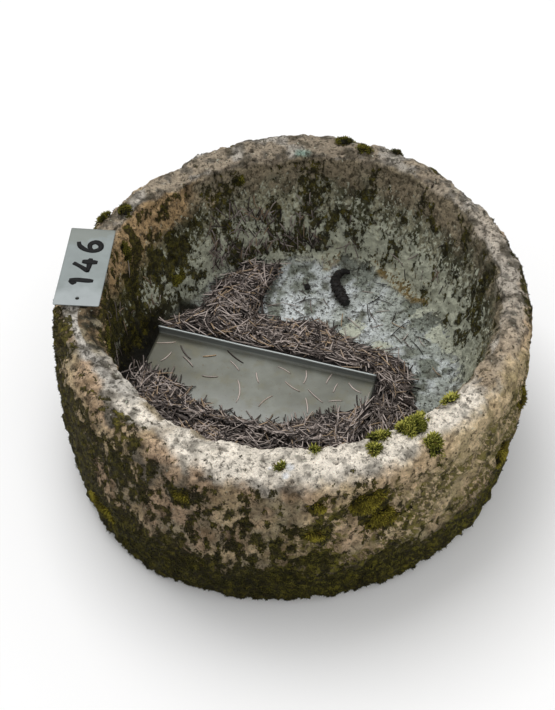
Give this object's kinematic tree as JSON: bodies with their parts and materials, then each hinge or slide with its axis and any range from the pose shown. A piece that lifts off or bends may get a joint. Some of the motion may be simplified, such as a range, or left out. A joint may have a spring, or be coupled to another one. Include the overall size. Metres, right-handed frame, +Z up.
{
  "type": "round stone basin",
  "caption": "Round garden basin hewn from one block of stone, mossy, with drifted needles, a loose folded metal sheet and a lot tag.",
  "frame": {"origin": "centre of the flat foot, on the ground", "axes": "+Z up through the mouth, +Y away from the picture's viewer, +X to the viewer's right"},
  "size_m": [0.6063, 0.6299, 0.273],
  "materials": {
    "hewn_stone": "rough, weathered, lichen and moss stained",
    "green_moss": "soft tufted",
    "dark_moss": "soft tufted, half dry",
    "dry_needles": "matt, dry",
    "dark_catkin": "matt, scaly",
    "weathered_metal": "dull zinc grey, stained",
    "tag_metal": "dull, pale, with a painted number"
  },
  "bodies": {
    "basin": {"stone_basin": "hewn_stone", "moss_front_rim": "green_moss", "moss_back_rim": "dark_moss", "moss_outer_wall": "dark_moss", "moss_hollow": "green_moss", "needle_bed": "dry_needles", "needle_drift_back": "dry_needles", "needle_drift_right": "dry_needles", "needle_drift_front": "dry_needles", "catkin": "dark_catkin", "bud": "dark_catkin"},
    "sheet": {"folded_sheet": "weathered_metal", "needles_on_sheet": "dry_needles", "loose_needles": "dry_needles"},
    "tag": {"lot_tag": "tag_metal"}
  },
  "joints": [
    {"name": "sheet_lift", "type": "slide", "parent": "basin", "child": "sheet", "axis": [0, 0, 1], "range_m": [0, 0.22]},
    {"name": "tag_lift", "type": "slide", "parent": "basin", "child": "tag", "axis": [0, 0, 1], "range_m": [0, 0.08]}
  ]
}
